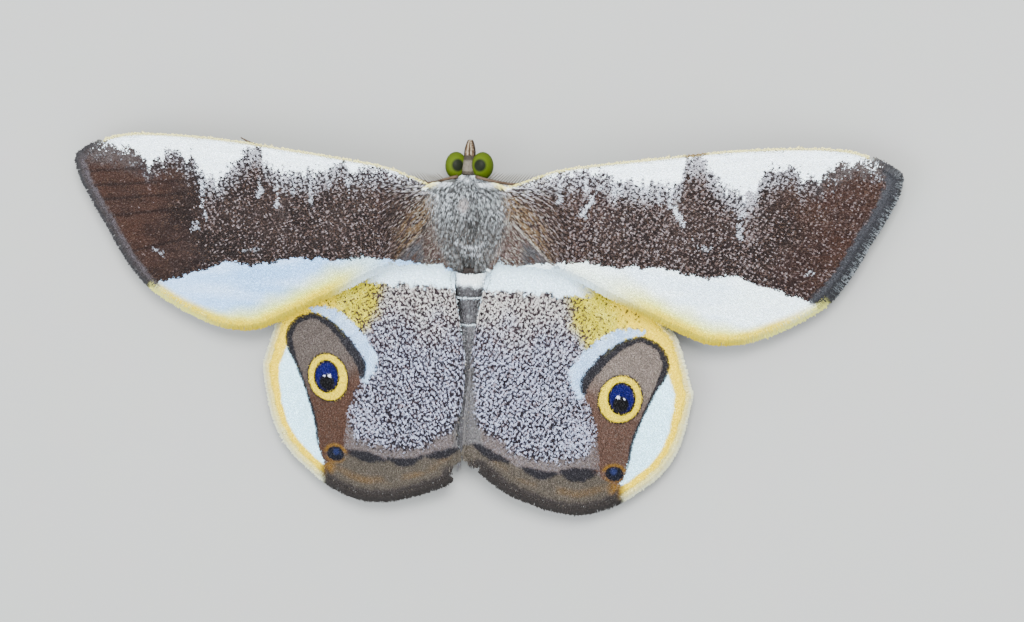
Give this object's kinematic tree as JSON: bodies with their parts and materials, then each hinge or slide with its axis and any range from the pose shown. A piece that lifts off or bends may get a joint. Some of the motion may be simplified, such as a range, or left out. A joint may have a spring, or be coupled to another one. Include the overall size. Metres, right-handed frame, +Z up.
{
  "type": "moth model",
  "caption": "Life-size still model of a geometer moth at rest, wings spread flat, brown and white forewings, eyespots on the hindwings.",
  "frame": {"origin": "middle of the model's plan box on the floor under its feet", "axes": "+Z up from the floor, +Y towards the head, +X to the moth's right side"},
  "size_m": [0.046, 0.0208, 0.0039],
  "materials": {
    "head": "pinkish grey scales",
    "palps": "dark brown scales",
    "thorax": "grey hair scales",
    "abdomen": "grey scales with pale rings",
    "eye_left": "glossy olive green, finely faceted",
    "antenna_left": "brown shaft with pale side branches",
    "forewing_left": "matt scales, brown field on bluish white",
    "hindwing_left": "matt scales, white and grey with an eyespot",
    "foreleg_left": "ochre and brown scales",
    "midleg_left": "ochre and brown scales",
    "hindleg_left": "ochre and brown scales",
    "eye_right": "glossy olive green, finely faceted",
    "antenna_right": "brown shaft with pale side branches",
    "forewing_right": "matt scales, brown field on bluish white",
    "hindwing_right": "matt scales, white and grey with an eyespot",
    "foreleg_right": "ochre and brown scales",
    "midleg_right": "ochre and brown scales",
    "hindleg_right": "ochre and brown scales"
  },
  "bodies": {
    "root": {"head": "head", "palps": "palps", "thorax": "thorax", "abdomen": "abdomen", "eye_left": "eye_left", "antenna_left": "antenna_left", "forewing_left": "forewing_left", "hindwing_left": "hindwing_left", "foreleg_left": "foreleg_left", "midleg_left": "midleg_left", "hindleg_left": "hindleg_left", "eye_right": "eye_right", "antenna_right": "antenna_right", "forewing_right": "forewing_right", "hindwing_right": "hindwing_right", "foreleg_right": "foreleg_right", "midleg_right": "midleg_right", "hindleg_right": "hindleg_right"}
  },
  "joints": []
}
